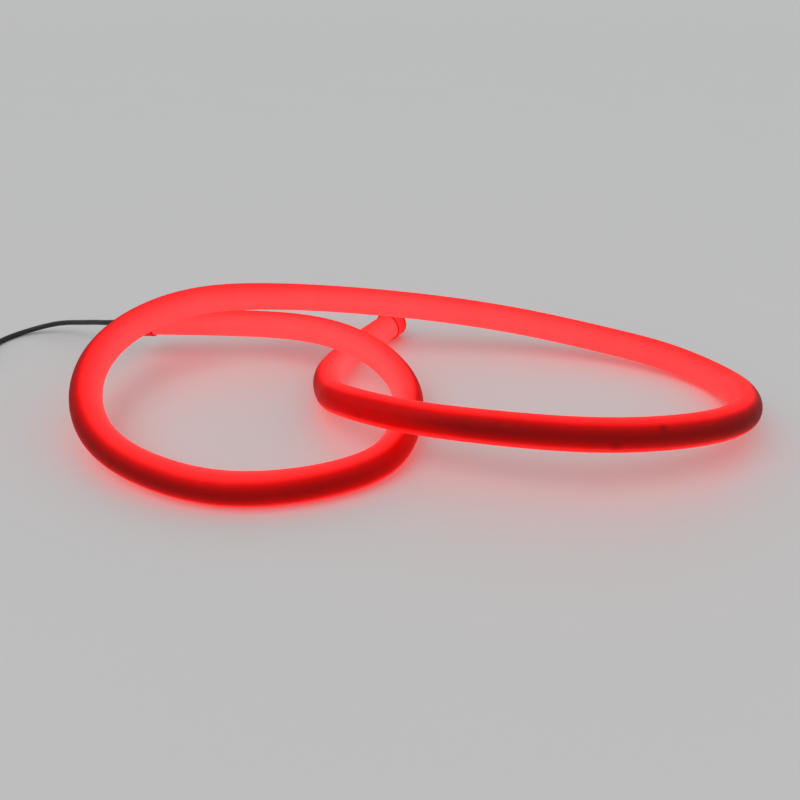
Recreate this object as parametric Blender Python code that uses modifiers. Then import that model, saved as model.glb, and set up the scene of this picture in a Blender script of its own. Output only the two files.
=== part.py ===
"""A two-metre length of round LED neon flex, lying in two loops, with its caps and its low-voltage lead.

Frame: metres, +Z up. The origin is on the floor, under the middle of the flex and its two caps.
+X runs along the long side of the heap of loops and +Y runs away from the side that faces the viewer.
"""

import math

import bmesh
import bpy
import numpy as np
from mathutils import Vector

MM = 0.001

# Tube: a milky silicone extrusion with a round bore
TUBE_DIAMETER = 25 * MM
TUBE_WALL = 3 * MM
TUBE_SIDES = 16
CROSSING_GAP = 0.5 * MM
FIT_GAP = 0.4 * MM
SEAT_GAP = 0.3 * MM

# Light strip: a flexible board on the outer side of the bore, facing the middle of the loops
STRIP_WIDTH = 10 * MM
STRIP_THICKNESS = 1.2 * MM

# Caps: moulded sleeves that slide over the ends of the tube
CAP_WALL = 1.1 * MM
CAP_COVER = 12 * MM
CAP_END_THICKNESS = 3 * MM
CAP_EDGE = 1.6 * MM
CAP_RIM = 0.5 * MM
CAP_SIDES = 32

# Lead: round two-core cable that leaves the feed cap through a tapered nose
LEAD_DIAMETER = 5 * MM
LEAD_SIDES = 8
LEAD_STEP = 2.5 * LEAD_DIAMETER
LEAD_FIT = 0.4 * MM
NOSE_LENGTH = 11 * MM
NOSE_WALL_ROOT = 3 * MM
NOSE_WALL_TIP = 1.2 * MM

# Coil: the spare lead, wound flat on the floor and held by a tie
COIL_CENTRE = (-444 * MM, 72 * MM)
COIL_RADIUS = 26 * MM
COIL_LAYERS = 3
COIL_EDGE = 1.5 * MM
COIL_SIDES = 40
TIE_THICKNESS = 0.8 * MM
TIE_WIDTH = 4 * MM

# Socket: the round low-voltage connector on the end of the lead
SOCKET_RADIUS = 5.5 * MM
SOCKET_BODY_LENGTH = 24 * MM
SOCKET_TAIL_LENGTH = 14 * MM
SOCKET_TAIL_WALL = 1 * MM
SOCKET_GRIP_DEPTH = 6 * MM
SOCKET_BORE_RADIUS = 2.9 * MM
SOCKET_BORE_DEPTH = 10 * MM
SOCKET_EDGE = 0.8 * MM
SOCKET_SIDES = 24
SOCKET_FRONT_Y = -14 * MM
PIN_RADIUS = 1 * MM
PIN_RECESS = 1.5 * MM
PIN_SIDES = 12

# A ring of the tube stands where it has turned this far, or run this far straight
RING_TURN = math.radians(9)
RING_STEP = 36 * MM

# Route of the tube from the feed cap to the end cap, read from the photograph: plan position in
# millimetres, and the storey that it lies on, where 0 is the floor and 1 is on top of a tube that lies there
TUBE_ROUTE = (
    (-249, 96, 0.83),
    (-173, 92, 0.84),
    (-113, 77, 0.97),
    (-67, 53, 1.01),
    (-29, 24, 0.71),
    (-9, -11, 0.30),
    (-10, -55, 0.03),
    (-27, -99, 0.00),
    (-75, -127, 0.00),
    (-137, -133, 0.00),
    (-196, -114, 0.09),
    (-243, -77, 0.28),
    (-267, -31, 0.71),
    (-268, 14, 1.19),
    (-246, 54, 1.61),
    (-203, 82, 1.87),
    (-145, 98, 1.81),
    (-66, 104, 1.58),
    (23, 103, 1.23),
    (108, 97, 0.76),
    (183, 81, 0.32),
    (240, 52, 0.09),
    (268, 14, 0.05),
    (265, -29, 0.40),
    (245, -68, 0.71),
    (189, -100, 1.00),
    (116, -113, 1.23),
    (40, -101, 1.21),
    (-23, -76, 1.03),
    (-61, -46, 0.77),
    (-72, -16, 0.33),
    (-77, 24, 0.08),
    (-63, 68, 0.00),
    (-27, 126, 0.06),
)

# Route of the lead from the nose of the feed cap to the coil: position in millimetres
LEAD_ROUTE = (
    (-291, 100, 31),
    (-311, 112, 25.5),
    (-336, 128, 18),
    (-363, 139, 12),
    (-389, 141, 5.5),
    (-409, 129, 2.6),
    (-418, 108, 2.7),
)

TUBE_RADIUS = TUBE_DIAMETER / 2
STOREY = TUBE_DIAMETER + CROSSING_GAP
BORE_RADIUS = TUBE_RADIUS - TUBE_WALL
CAP_SOCKET_RADIUS = TUBE_RADIUS + FIT_GAP
CAP_RADIUS = CAP_SOCKET_RADIUS + CAP_WALL
CAP_LENGTH = CAP_COVER + CAP_END_THICKNESS
LEAD_RADIUS = LEAD_DIAMETER / 2
LEAD_HOLE_RADIUS = LEAD_RADIUS + LEAD_FIT
COIL_LIFT = TIE_THICKNESS + SEAT_GAP
COIL_HEIGHT = COIL_LAYERS * LEAD_DIAMETER
COIL_OUTER_RADIUS = COIL_RADIUS + LEAD_RADIUS


def new_material(name, colour, roughness, metallic=0.0, glow=0.0):
    """A Principled material; glow lets a lit piece shine in its own colour."""
    material = bpy.data.materials.new(name)
    material.use_nodes = True
    shader = material.node_tree.nodes["Principled BSDF"]
    shader.inputs["Base Color"].default_value = (*colour, 1)
    shader.inputs["Roughness"].default_value = roughness
    shader.inputs["Metallic"].default_value = metallic
    shader.inputs["Emission Color"].default_value = (*colour, 1)
    shader.inputs["Emission Strength"].default_value = glow
    return material


def smooth_curve(points, step=0.5 * MM):
    """Points every step along the natural cubic spline through the given points."""
    knots = np.array(points, dtype=float)
    chord = np.linalg.norm(np.diff(knots, axis=0), axis=1)
    along = np.concatenate([[0], np.cumsum(chord)])
    count = len(knots)
    matrix = np.eye(count)
    right = np.zeros_like(knots)
    for i in range(1, count - 1):
        before, after = chord[i - 1], chord[i]
        matrix[i, i - 1 : i + 2] = (before, 2 * (before + after), after)
        right[i] = 6 * ((knots[i + 1] - knots[i]) / after - (knots[i] - knots[i - 1]) / before)
    bend = np.linalg.solve(matrix, right)
    fine = []
    for place in np.linspace(0, along[-1], int(along[-1] / step) + 1):
        i = min(int(np.searchsorted(along, place, side="right")) - 1, count - 2)
        b = (place - along[i]) / chord[i]
        a = 1 - b
        curl = ((a**3 - a) * bend[i] + (b**3 - b) * bend[i + 1]) * chord[i] ** 2 / 6
        fine.append(a * knots[i] + b * knots[i + 1] + curl)
    return [Vector(point) for point in fine]


def thin_out(fine, longest, turn=None):
    """Keeps a point where the curve has run the longest step, or turned by the given angle."""
    kept = [fine[0]]
    heading = (fine[1] - fine[0]).normalized()
    for before, here in zip(fine[:-1], fine[1:-1]):
        ahead = (here - before).normalized()
        far = (here - kept[-1]).length >= longest
        if far or (turn and heading.angle(ahead) >= turn):
            kept.append(here)
            heading = ahead
    if (kept[-1] - fine[-1]).length < longest / 4:
        kept.pop()
    kept.append(fine[-1])
    return kept


def tube_centre_line():
    """The fine centre line of the tube from joint to joint; the floor holds it up."""
    points = [(x * MM, y * MM, TUBE_RADIUS + storey * STOREY) for x, y, storey in TUBE_ROUTE]
    # The end cap is wider than the tube, so the tube's last stretch lies that much higher
    x, y, z = points[-1]
    points[-1] = (x, y, max(z, CAP_RADIUS))
    return rest_on_floor(smooth_curve(points), TUBE_RADIUS)


def rest_on_floor(line, radius):
    """Lifts the points that would sink a tube of this radius into the floor."""
    for point in line:
        point.z = max(point.z, radius)
    return line


def end_directions(line):
    """Unit vectors that point out of the two ends of a line."""
    return (line[0] - line[1]).normalized(), (line[-1] - line[-2]).normalized()


def link(collection, obj, material=None):
    """Puts an object in a collection and gives it its material."""
    collection.objects.link(obj)
    if material:
        obj.data.materials.append(material)
    return obj


def poly_curve(name, points, radius, sides, capped):
    """A curve object: a round tube along straight spans between the points."""
    curve = bpy.data.curves.new(name, "CURVE")
    curve.dimensions = "3D"
    curve.bevel_depth = radius
    curve.bevel_resolution = (sides - 4) // 2
    curve.use_fill_caps = capped
    spline = curve.splines.new("POLY")
    spline.points.add(len(points) - 1)
    for target, point in zip(spline.points, points):
        target.co = (*point, 1)
    return bpy.data.objects.new(name, curve)


def curve_to_mesh(collection, obj, material):
    """Replaces a curve object by a mesh object with its seams welded."""
    collection.objects.link(obj)
    evaluated = obj.evaluated_get(bpy.context.evaluated_depsgraph_get())
    mesh = bpy.data.meshes.new_from_object(evaluated)
    name, place = obj.name, obj.matrix_world.copy()
    bpy.data.objects.remove(obj)
    body = bmesh.new()
    body.from_mesh(mesh)
    bmesh.ops.remove_doubles(body, verts=body.verts, dist=0.00001)
    bmesh.ops.recalc_face_normals(body, faces=body.faces)
    body.to_mesh(mesh)
    body.free()
    mesh.name = name
    mesh.materials.clear()
    made = bpy.data.objects.new(name, mesh)
    made.matrix_world = place
    link(collection, made, material)
    mesh.shade_smooth()
    mesh.set_sharp_from_angle(angle=math.radians(40))
    return made


def arc(centre_r, centre_z, radius, start, end, steps=4):
    """Points of a rounded edge in a turned outline, angles in degrees from the outward direction."""
    angles = [math.radians(start + (end - start) * i / steps) for i in range(steps + 1)]
    return [(centre_r + radius * math.cos(a), centre_z + radius * math.sin(a)) for a in angles]


def turned(collection, name, outline, sides, material, closed):
    """Turns an outline of (radius, height) points about Z; a closed one has a bore."""
    mesh = bpy.data.meshes.new(name)
    edges = [(i, i + 1) for i in range(len(outline) - 1)]
    if closed:
        edges.append((len(outline) - 1, 0))
    mesh.from_pydata([(r, 0, z) for r, z in outline], edges, [])
    obj = link(collection, bpy.data.objects.new(name, mesh), material)
    screw = obj.modifiers.new("turn", "SCREW")
    screw.axis = "Z"
    screw.angle = math.tau
    screw.steps = sides
    screw.render_steps = sides
    screw.use_merge_vertices = True
    screw.merge_threshold = 0.00001
    screw.use_smooth_shade = True
    return obj


def aim(obj, place, direction):
    """Puts an object's origin at a place and turns its Z axis to a direction."""
    obj.location = place
    obj.rotation_mode = "QUATERNION"
    obj.rotation_quaternion = direction.to_track_quat("Z", "Y")


def cap_mouth():
    """The lower outline that both caps share: rim, outer wall foot and the socket for the tube."""
    return [
        (CAP_RADIUS, CAP_RIM),
        (CAP_RADIUS - CAP_RIM, 0),
        (CAP_SOCKET_RADIUS, 0),
        (CAP_SOCKET_RADIUS, CAP_COVER),
    ]


def make_diffuser_tube(collection, rings):
    """The jacket: an open tube along the rings, thickened inwards."""
    material = new_material("milky_silicone", (0.9, 0.06, 0.06), 0.45, glow=1.5)
    tube = poly_curve("diffuser_tube", rings, TUBE_RADIUS, TUBE_SIDES, False)
    tube = curve_to_mesh(collection, tube, material)
    wall = tube.modifiers.new("wall", "SOLIDIFY")
    wall.thickness = TUBE_WALL
    wall.offset = -1
    wall.use_even_offset = True
    return tube


def make_led_strip(collection, guides, rings):
    """The flat light strip, swept along the tube on the outer side of its bore."""
    half_width = STRIP_WIDTH / 2
    flat_radius = BORE_RADIUS * math.cos(math.pi / TUBE_SIDES) - SEAT_GAP
    back = math.sqrt(flat_radius**2 - half_width**2)
    front = back - STRIP_THICKNESS
    outline = bpy.data.curves.new("strip_section", "CURVE")
    outline.dimensions = "2D"
    side = outline.splines.new("POLY")
    side.points.add(3)
    corners = ((-back, -half_width), (-front, -half_width), (-front, half_width), (-back, half_width))
    for target, (x, y) in zip(side.points, corners):
        target.co = (x, y, 0, 1)
    side.use_cyclic_u = True
    section = link(guides, bpy.data.objects.new("strip_section", outline))
    strip = poly_curve("led_strip", rings, 0, 4, True)
    strip.data.bevel_mode = "OBJECT"
    strip.data.bevel_object = section
    strip.data.twist_mode = "Z_UP"
    material = new_material("strip_board", (0.85, 0.8, 0.72), 0.5)
    return curve_to_mesh(collection, strip, material)


def make_feed_cap(collection, joint, direction):
    """The cap that the lead enters, with its tapered nose."""
    top = CAP_LENGTH + NOSE_LENGTH
    root = LEAD_HOLE_RADIUS + NOSE_WALL_ROOT
    outline = [
        (LEAD_HOLE_RADIUS, top),
        (LEAD_HOLE_RADIUS + NOSE_WALL_TIP, top),
        (root, CAP_LENGTH),
        *arc(CAP_RADIUS - CAP_EDGE, CAP_LENGTH - CAP_EDGE, CAP_EDGE, 90, 0),
        *cap_mouth(),
        (LEAD_HOLE_RADIUS, CAP_COVER),
    ]
    material = new_material("cap_silicone_feed", (0.75, 0.05, 0.05), 0.4, glow=0.6)
    cap = turned(collection, "feed_cap", outline, CAP_SIDES, material, True)
    aim(cap, joint, direction)
    return cap


def make_end_cap(collection, joint, direction):
    """The closed cap on the far end."""
    outline = [
        (0, CAP_LENGTH),
        *arc(CAP_RADIUS - CAP_EDGE, CAP_LENGTH - CAP_EDGE, CAP_EDGE, 90, 0),
        *cap_mouth(),
        (0, CAP_COVER),
    ]
    material = new_material("cap_silicone_end", (0.8, 0.06, 0.06), 0.4, glow=0.8)
    cap = turned(collection, "end_cap", outline, CAP_SIDES, material, False)
    aim(cap, joint, direction)
    return cap


def coil_reach():
    """How far before its tangent point the straight lead meets the coil's outer wall."""
    inner_side = COIL_RADIUS - LEAD_RADIUS
    return math.sqrt((COIL_OUTER_RADIUS + SEAT_GAP) ** 2 - inner_side**2)


def make_lead_cable(collection, joint, direction):
    """The loose lead, from inside the feed cap to the side of the coil."""
    tip = joint + direction * (CAP_LENGTH + NOSE_LENGTH)
    coil_x = COIL_CENTRE[0] + COIL_RADIUS
    arrival = Vector((coil_x, COIL_CENTRE[1] + coil_reach(), COIL_LIFT + LEAD_RADIUS))
    free = [tuple(value * MM for value in point) for point in LEAD_ROUTE]
    points = [joint, joint + direction * CAP_LENGTH, tip, *free, arrival]
    line = thin_out(rest_on_floor(smooth_curve(points), LEAD_RADIUS), LEAD_STEP)
    material = new_material("lead_jacket", (0.02, 0.02, 0.02), 0.5)
    lead = poly_curve("lead_cable", line, LEAD_RADIUS, LEAD_SIDES, True)
    return curve_to_mesh(collection, lead, material)


def make_lead_coil(collection):
    """The outer shape of the wound lead: a turned ring."""
    inner, outer = COIL_RADIUS - LEAD_RADIUS, COIL_OUTER_RADIUS
    low, high = COIL_LIFT, COIL_LIFT + COIL_HEIGHT
    outline = [
        (inner + COIL_EDGE, high),
        (outer - COIL_EDGE, high),
        (outer, high - COIL_EDGE),
        (outer, low + COIL_EDGE),
        (outer - COIL_EDGE, low),
        (inner + COIL_EDGE, low),
        (inner, low + COIL_EDGE),
        (inner, high - COIL_EDGE),
    ]
    material = new_material("coil_jacket", (0.02, 0.02, 0.02), 0.5)
    coil = turned(collection, "lead_coil", outline, COIL_SIDES, material, True)
    coil.location = (*COIL_CENTRE, 0)
    return coil


def box(collection, name, size, centre, material=None):
    """A box of the given size about a centre."""
    mesh = bpy.data.meshes.new(name)
    body = bmesh.new()
    bmesh.ops.create_cube(body, size=1)
    bmesh.ops.scale(body, vec=size, verts=body.verts)
    body.to_mesh(mesh)
    body.free()
    obj = link(collection, bpy.data.objects.new(name, mesh), material)
    obj.location = centre
    return obj


def make_coil_tie(collection, guides):
    """The band round the coil's section, on its far side from the socket."""
    hole_width = LEAD_DIAMETER + 2 * SEAT_GAP
    hole_height = COIL_HEIGHT + 2 * SEAT_GAP
    middle = COIL_LIFT + COIL_HEIGHT / 2
    centre = (COIL_CENTRE[0] - COIL_RADIUS, COIL_CENTRE[1], middle)
    outer = (hole_width + 2 * TIE_THICKNESS, TIE_WIDTH, hole_height + 2 * TIE_THICKNESS)
    material = new_material("tie_plastic", (0.03, 0.03, 0.03), 0.45)
    tie = box(collection, "coil_tie", outer, centre, material)
    hole = box(guides, "tie_hole", (hole_width, 2 * TIE_WIDTH, hole_height), centre)
    cut = tie.modifiers.new("hole", "BOOLEAN")
    cut.operation = "DIFFERENCE"
    cut.solver = "EXACT"
    cut.object = hole
    return tie


def socket_axis():
    """The place of the socket's front face centre, and the direction that its mouth faces."""
    front = Vector((COIL_CENTRE[0] + COIL_RADIUS, SOCKET_FRONT_Y, SOCKET_RADIUS))
    return front, Vector((0, -1, 0))


def make_lead_end(collection):
    """The lead between the coil and the socket, coming down from the top turn."""
    front, mouth = socket_axis()
    rear = front - mouth * (SOCKET_BODY_LENGTH + SOCKET_TAIL_LENGTH)
    inside = rear + mouth * SOCKET_GRIP_DEPTH
    top = COIL_LIFT + COIL_HEIGHT - LEAD_RADIUS
    leave = Vector((rear.x, COIL_CENTRE[1] - coil_reach(), top))
    span = leave - rear
    points = [
        leave,
        rear + Vector((0, span.y * 0.62, span.z * 0.72)),
        rear + Vector((0, span.y * 0.28, span.z * 0.14)),
        rear,
        inside,
    ]
    line = thin_out(rest_on_floor(smooth_curve(points), LEAD_RADIUS), LEAD_STEP / 2)
    material = new_material("end_jacket", (0.02, 0.02, 0.02), 0.5)
    lead = poly_curve("lead_end", line, LEAD_RADIUS, LEAD_SIDES, True)
    return curve_to_mesh(collection, lead, material)


def make_socket_body(collection):
    """The moulded socket, with its mouth at height 0 and its tapered tail above."""
    front, mouth = socket_axis()
    length = SOCKET_BODY_LENGTH + SOCKET_TAIL_LENGTH
    grip_floor = length - SOCKET_GRIP_DEPTH - SEAT_GAP
    outline = [
        (LEAD_HOLE_RADIUS, length),
        (LEAD_HOLE_RADIUS + SOCKET_TAIL_WALL, length),
        (SOCKET_RADIUS - SOCKET_EDGE, SOCKET_BODY_LENGTH),
        (SOCKET_RADIUS, SOCKET_BODY_LENGTH - SOCKET_EDGE),
        (SOCKET_RADIUS, SOCKET_EDGE),
        (SOCKET_RADIUS - SOCKET_EDGE, 0),
        (SOCKET_BORE_RADIUS, 0),
        (SOCKET_BORE_RADIUS, SOCKET_BORE_DEPTH),
        (0, SOCKET_BORE_DEPTH),
    ]
    material = new_material("socket_moulding", (0.025, 0.025, 0.025), 0.5)
    blind = [(0, grip_floor), (LEAD_HOLE_RADIUS, grip_floor)]
    body = turned(collection, "socket_body", blind + outline, SOCKET_SIDES, material, False)
    aim(body, front, -mouth)
    return body


def make_socket_pin(collection):
    """The contact pin in the socket's bore."""
    front, mouth = socket_axis()
    base, tip = SOCKET_BORE_DEPTH - SEAT_GAP, PIN_RECESS
    outline = [
        (0, base),
        (PIN_RADIUS, base),
        (PIN_RADIUS, tip + PIN_RADIUS / 2),
        (PIN_RADIUS / 2, tip),
        (0, tip),
    ]
    material = new_material("pin_metal", (0.75, 0.73, 0.68), 0.25, metallic=1.0)
    pin = turned(collection, "socket_pin", outline, PIN_SIDES, material, False)
    aim(pin, front, -mouth)
    return pin


def main():
    for obj in list(bpy.data.objects):
        bpy.data.objects.remove(obj)
    parts = bpy.data.collections.new("neon_flex")
    guides = bpy.data.collections.new("cutters")
    bpy.context.scene.collection.children.link(parts)
    bpy.context.scene.collection.children.link(guides)

    line = tube_centre_line()
    feed_way, end_way = end_directions(line)
    inserted = CAP_COVER - SEAT_GAP
    rings = thin_out(line, RING_STEP, RING_TURN)
    rings = [line[0] + feed_way * inserted, *rings, line[-1] + end_way * inserted]

    make_diffuser_tube(parts, rings)
    make_led_strip(parts, guides, rings)
    make_feed_cap(parts, line[0], feed_way)
    make_end_cap(parts, line[-1], end_way)
    make_lead_cable(parts, line[0], feed_way)
    make_lead_coil(parts)
    make_coil_tie(parts, guides)
    make_lead_end(parts)
    make_socket_body(parts)
    make_socket_pin(parts)

    for guide in guides.objects:
        guide.hide_render = True
        guide.display_type = "WIRE"


main()
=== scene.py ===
"""Looks of a two-metre length of round LED neon flex, lit red and lying in two loose loops.

The file is laid out as a Blender add-on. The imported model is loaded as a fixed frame, each operator makes
one piece or group of pieces round it, and main() runs the operators in order.
"""

import math

import bpy
import numpy as np
from bpy.props import FloatProperty, FloatVectorProperty, IntProperty, PointerProperty
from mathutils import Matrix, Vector


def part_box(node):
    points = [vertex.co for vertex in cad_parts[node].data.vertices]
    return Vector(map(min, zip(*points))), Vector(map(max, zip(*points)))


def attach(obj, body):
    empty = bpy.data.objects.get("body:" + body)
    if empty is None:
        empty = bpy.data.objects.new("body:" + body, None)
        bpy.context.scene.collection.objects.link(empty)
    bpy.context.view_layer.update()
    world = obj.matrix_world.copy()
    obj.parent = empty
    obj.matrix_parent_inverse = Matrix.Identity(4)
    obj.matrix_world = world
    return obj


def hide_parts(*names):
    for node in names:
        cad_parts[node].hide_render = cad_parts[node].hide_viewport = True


bl_info = {
    "name": "Neon Flex",
    "version": (1, 0, 0),
    "blender": (4, 5, 0),
    "location": "3D View > Sidebar > Neon Flex",
    "description": "Builds a lit length of round neon flex with its caps, lead and socket",
    "category": "Object",
}

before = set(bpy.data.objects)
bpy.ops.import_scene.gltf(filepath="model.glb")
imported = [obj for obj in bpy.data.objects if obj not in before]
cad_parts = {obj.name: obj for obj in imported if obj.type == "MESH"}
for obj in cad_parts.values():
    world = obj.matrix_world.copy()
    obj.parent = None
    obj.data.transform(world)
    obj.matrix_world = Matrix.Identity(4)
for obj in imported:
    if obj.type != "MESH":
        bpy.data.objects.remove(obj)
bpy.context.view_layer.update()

MM = 0.001
BODY = "root"

# Camera: fitted to both edges of the tube in the photograph
CAMERA_PLACE = (-0.014, -0.520, 0.3175)
CAMERA_PITCH = math.radians(31.1)
FOCAL_PIXELS = 703.3
PICTURE_WIDTH = 800
SENSOR_WIDTH = 36.0

# Route of the tube from the feed cap to the end cap: plan position in metres, and the storey that it lies
# on, where 0 is the floor and 1 is on top of a tube that lies there
TUBE_ROUTE = (
    (-0.249, 0.096, 0.83),
    (-0.173, 0.092, 0.84),
    (-0.113, 0.077, 0.97),
    (-0.067, 0.053, 1.01),
    (-0.029, 0.024, 0.71),
    (-0.009, -0.011, 0.30),
    (-0.010, -0.055, 0.03),
    (-0.027, -0.099, 0.00),
    (-0.075, -0.127, 0.00),
    (-0.137, -0.133, 0.00),
    (-0.196, -0.114, 0.09),
    (-0.243, -0.077, 0.28),
    (-0.267, -0.031, 0.71),
    (-0.268, 0.014, 1.19),
    (-0.246, 0.054, 1.61),
    (-0.203, 0.082, 1.87),
    (-0.145, 0.098, 1.81),
    (-0.066, 0.104, 1.58),
    (0.023, 0.103, 1.23),
    (0.108, 0.097, 0.76),
    (0.183, 0.081, 0.32),
    (0.240, 0.052, 0.09),
    (0.268, 0.014, 0.05),
    (0.265, -0.029, 0.40),
    (0.245, -0.068, 0.71),
    (0.189, -0.100, 1.00),
    (0.116, -0.113, 1.23),
    (0.040, -0.101, 1.21),
    (-0.023, -0.076, 1.03),
    (-0.061, -0.046, 0.77),
    (-0.072, -0.016, 0.33),
    (-0.077, 0.024, 0.08),
    (-0.063, 0.068, 0.00),
    (-0.027, 0.126, 0.06),
)
CROSSING_GAP = 0.5 * MM
FINE_STEP = 0.5 * MM
RINGS_IN_CAP = (0.33, 0.66, 1)

# Route of the lead from the nose of the feed cap to the coil, in metres
LEAD_ROUTE = (
    (-0.291, 0.100, 0.031),
    (-0.311, 0.112, 0.0255),
    (-0.336, 0.128, 0.018),
    (-0.363, 0.139, 0.012),
    (-0.389, 0.141, 0.0055),
    (-0.409, 0.129, 0.0026),
    (-0.418, 0.108, 0.0027),
)

# Lead: its start beyond the tube's joint, and the shares of a coil's turn where it climbs on to the next
LEAD_START = 4 * MM
LEAD_STEP = 2 * MM
TURN_STEPS = 18
CLIMB_START = 0.58
CLIMB_SHARE = 0.30

# Way from the coil to the socket: shares of its length and height where it leaves and where it drops
LEVEL_WAY = 0.3
LEVEL_HEIGHT = 0.97
DROP_WAY = 0.62
DROP_HEIGHT = 0.42
LEAD_BEFORE_SOCKET = 3 * MM
LEAD_IN_SOCKET = 5.5 * MM

# Caps: heights are measured from the mouth that the tube enters
FIT_GAP = 0.4 * MM
SEAT_GAP = 0.3 * MM
CAP_WALL = 1.1 * MM
CAP_COVER = 12 * MM
CAP_LENGTH = 15 * MM
MOUTH_CHAMFER = 0.15 * MM
MOUTH_DEPTH = 0.4 * MM
FAINT_RING = 5.3 * MM
FAINT_RING_WIDTH = 1.0 * MM
FAINT_RING_SHARE = 0.5
END_RING = 12.2 * MM
END_RING_WIDTH = 0.9 * MM

# Dish in the closed end, by a share of the tube's diameter. The mark of the mould's gate stands in it,
# given by radius and depth below the end face
DISH_SHARE = 0.38
DISH_DEPTH = 0.35 * MM
DISH_EDGE = 0.5 * MM
DISH_EDGE_DEPTH = 0.12 * MM
GATE_MARK = (
    (2.2 * MM, 0.35 * MM),
    (1.5 * MM, 0.30 * MM),
    (1.2 * MM, 0.05 * MM),
    (0.9 * MM, 0.0),
    (0.0, 0.0),
)

# Nose of the feed cap, with rings cut in its taper
NOSE_LENGTH = 11 * MM
NOSE_ROOT_WALL = 3.0 * MM
NOSE_TIP_WALL = 1.2 * MM
NOSE_FILLET = 1.0 * MM
NOSE_ROUND = 0.5 * MM
NOSE_CHAMFER = 0.2 * MM
NOSE_RINGS = np.linspace(0.16, 0.84, 4)
NOSE_RING_WIDTH = 1.1 * MM
NOSE_RING_DEPTH = 0.45 * MM

# Band round the coil, with its head and the stub of its cut-off tail
BAND_THICKNESS = 0.8 * MM
BAND_SIDES = 48
BAND_EDGE = 0.12 * MM
HEAD_LENGTH = 4.6 * MM
HEAD_OVERHANG = 1.2 * MM
HEAD_HEIGHT = 3.2 * MM
HEAD_LIFT = 1.0 * MM
HEAD_EDGE = 0.5 * MM
STUB_LENGTH = 6.5 * MM
STUB_WIDTH_SHARE = 0.82
STUB_HEIGHT = 0.75 * MM
STUB_OFFSET = 4.2 * MM
STUB_LIFT = 1.1 * MM
STUB_EDGE = 0.2 * MM

# Socket: heights are measured from its front ring. Its tail is ringed for bending, its barrel for grip
BARREL_LENGTH = 24 * MM
BARREL_EDGE = 0.8 * MM
FRONT_EDGE = 0.7 * MM
BORE_RADIUS = 2.9 * MM
BORE_DEPTH = 10 * MM
BORE_CHAMFER = 0.35 * MM
TAIL_WALL = 1.0 * MM
TAIL_EDGE = 0.35 * MM
TAIL_HOLE_DEPTH = 6.3 * MM
TAIL_HOLE_CHAMFER = 0.3 * MM
TAIL_RINGS = np.linspace(0.14, 0.8, 5)
TAIL_RING_WIDTH = 1.3 * MM
TAIL_RING_DEPTH = 0.45 * MM
GRIP_RINGS = np.linspace(21.5 * MM, 13.5 * MM, 6)
GRIP_RING_WIDTH = 1.0 * MM
GRIP_RING_DEPTH = 0.22 * MM
GRIP_END = 6 * MM
PIN_SIDES = 40

# How the strip lies in the tube and how it glows there, by the distance along the tube in metres: tilt of
# the strip's back up from level in degrees, brightness of the band over it, and warmth of the lit side
GLOW_TABLE = (
    (0.00, 20, 1.00, 0.90),
    (0.10, 18, 1.00, 1.10),
    (0.24, 16, 1.00, 1.16),
    (0.30, 20, 2.30, 1.45),
    (0.35, 26, 2.60, 1.25),
    (0.41, 20, 1.15, 1.20),
    (0.47, 12, 1.14, 1.22),
    (0.53, 15, 0.95, 1.12),
    (0.60, 25, 0.92, 1.10),
    (0.63, 34, 0.94, 1.07),
    (0.67, 35, 1.00, 1.02),
    (0.72, 40, 1.00, 1.03),
    (0.88, 42, 1.00, 1.10),
    (0.97, 26, 1.00, 1.08),
    (1.12, 22, 1.00, 1.02),
    (1.34, 24, 0.70, 0.90),
    (1.40, 26, 0.42, 0.64),
    (1.45, 24, 0.58, 0.64),
    (1.50, 22, 0.80, 0.80),
    (1.58, 26, 0.86, 0.82),
    (1.65, 25, 0.75, 0.87),
    (1.69, 29, 2.45, 0.90),
    (1.75, 22, 2.05, 1.05),
    (1.82, 14, 1.00, 1.45),
    (1.90, 12, 1.00, 1.15),
    (1.96, 12, 1.00, 0.95),
)
GLOW_BLUR = 24 * MM
BLUR_STEPS = 13

# Glow by the angle from the middle of the strip's back, in half turns: how far it has gone from the shaded
# side's colour to the lit side's, in red, and in green and blue
GLOW_BY_ANGLE = (
    (0.000, 0.00, 0.00),
    (0.090, 0.08, 0.00),
    (0.160, 0.25, 0.00),
    (0.205, 0.46, 0.01),
    (0.250, 0.75, 0.10),
    (0.300, 0.90, 0.27),
    (0.440, 0.95, 0.47),
    (0.600, 0.98, 0.80),
    (0.780, 1.00, 1.00),
    (1.000, 0.98, 0.93),
)

# Angles in radians over which a brighter band and a darker band fade into the usual glow
BRIGHTER_FADE = (0.0, 0.65)
DARKER_FADE = (0.45, 1.05)

# Slow drift of the glow along the tube, and its ripple from diode to diode
DRIFT = (0.95, 1.05)
RIPPLE = (0.985, 1.015)
DIODE_PITCH = 16.7 * MM

# Small spots beside the band where the glow is dimmed: distance along the tube, angle from the middle of
# the band, 1 above it or 0 below it, size and depth. A spot ends at the reach below times its size
DIMMED_GLOW_SPOTS = (
    (1.534, 31, 0, 4.0 * MM, 0.40),
    (1.5015, 29, 1, 3.2 * MM, 0.42),
    (1.7145, 26, 0, 2.7 * MM, 0.24),
)
SPOT_REACH = 1.6

# Glow of a cap by height from its mouth: share of its red, and of its green and blue
CAP_GLOW = (
    (0.0, 0.62, 0.0),
    (0.8 * MM, 0.74, 0.15),
    (1.9 * MM, 1.0, 1.0),
    (FAINT_RING - 1.0 * MM, 1.0, 0.95),
    (FAINT_RING, 0.88, 0.50),
    (FAINT_RING + 1.0 * MM, 1.0, 0.85),
    (END_RING - 2.0 * MM, 0.95, 0.60),
    (END_RING - 0.3 * MM, 0.62, 0.10),
    (END_RING + 0.7 * MM, 0.74, 0.20),
    (CAP_LENGTH - 0.2 * MM, 0.66, 0.08),
    (CAP_LENGTH, 0.50, 0.0),
)
NOSE_TIP_GLOW = 0.02

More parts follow.
